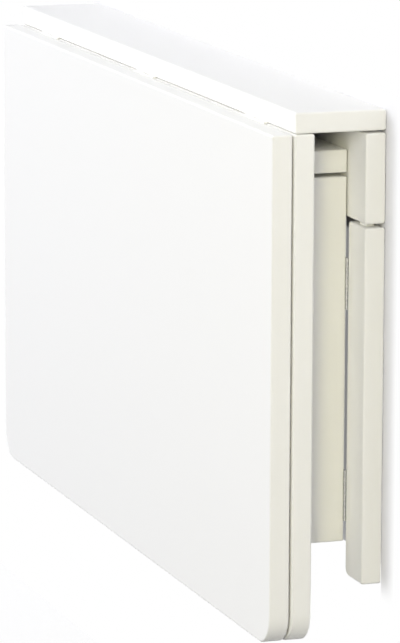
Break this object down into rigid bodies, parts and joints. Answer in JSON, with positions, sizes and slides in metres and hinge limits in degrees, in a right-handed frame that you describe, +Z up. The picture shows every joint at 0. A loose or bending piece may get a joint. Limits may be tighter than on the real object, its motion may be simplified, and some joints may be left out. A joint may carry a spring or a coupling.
{
  "type": "wall mounted drop leaf table",
  "caption": "Narrow wall shelf with a thick drop leaf that hinges up level with it and folded swing-out gates that carry the raised leaf.",
  "frame": {"origin": "on the wall plane, at the middle of the row of screw holes in the top rail", "axes": "+X along the wall to the right as seen from the room, +Y into the wall, +Z up"},
  "size_m": [0.9, 0.1126, 0.51],
  "materials": {
    "white_lacquer": "satin white lacquer",
    "white_enamel": "white stoved enamel",
    "zinc_steel": "zinc plated",
    "felt": "felt"
  },
  "bodies": {
    "wall_frame": {"shelf_board": "white_lacquer", "wall_rail": "white_lacquer", "right_wall_stile": "white_lacquer", "left_wall_stile": "white_lacquer", "shelf_bracket_1": "zinc_steel", "shelf_bracket_2": "zinc_steel", "shelf_bracket_3": "zinc_steel", "shelf_bracket_4": "zinc_steel", "leaf_hinge_left_shelf_plate": "white_enamel", "leaf_hinge_left_pin": "white_enamel", "leaf_hinge_middle_shelf_plate": "white_enamel", "leaf_hinge_middle_pin": "white_enamel", "leaf_hinge_right_shelf_plate": "white_enamel", "leaf_hinge_right_pin": "white_enamel", "right_gate_arm": "white_lacquer", "right_gate_hinge_stile": "white_lacquer", "right_gate_free_stile": "white_lacquer", "right_gate_top_rail": "white_lacquer", "right_gate_bottom_rail": "white_lacquer", "right_gate_felt_pad": "felt", "right_gate_upper_hinge_wall_plate": "zinc_steel", "right_gate_upper_hinge_gate_plate": "zinc_steel", "right_gate_upper_hinge_pin": "zinc_steel", "right_gate_lower_hinge_wall_plate": "zinc_steel", "right_gate_lower_hinge_gate_plate": "zinc_steel", "right_gate_lower_hinge_pin": "zinc_steel", "left_gate_arm": "white_lacquer", "left_gate_hinge_stile": "white_lacquer", "left_gate_free_stile": "white_lacquer", "left_gate_top_rail": "white_lacquer", "left_gate_bottom_rail": "white_lacquer", "left_gate_felt_pad": "felt", "left_gate_upper_hinge_wall_plate": "zinc_steel", "left_gate_upper_hinge_gate_plate": "zinc_steel", "left_gate_upper_hinge_pin": "zinc_steel", "left_gate_lower_hinge_wall_plate": "zinc_steel", "left_gate_lower_hinge_gate_plate": "zinc_steel", "left_gate_lower_hinge_pin": "zinc_steel"},
    "leaf": {"leaf_outer_board": "white_lacquer", "leaf_inner_board": "white_lacquer", "leaf_spacer_strips": "white_lacquer", "leaf_hinge_left_leaf_plate": "white_enamel", "leaf_hinge_middle_leaf_plate": "white_enamel", "leaf_hinge_right_leaf_plate": "white_enamel"}
  },
  "joints": [
    {"name": "leaf_hinge", "type": "hinge", "parent": "wall_frame", "child": "leaf", "pos_m": [0, -0.0913, 0.044], "axis": [-1, 0, 0], "range_deg": [0, 90]}
  ]
}
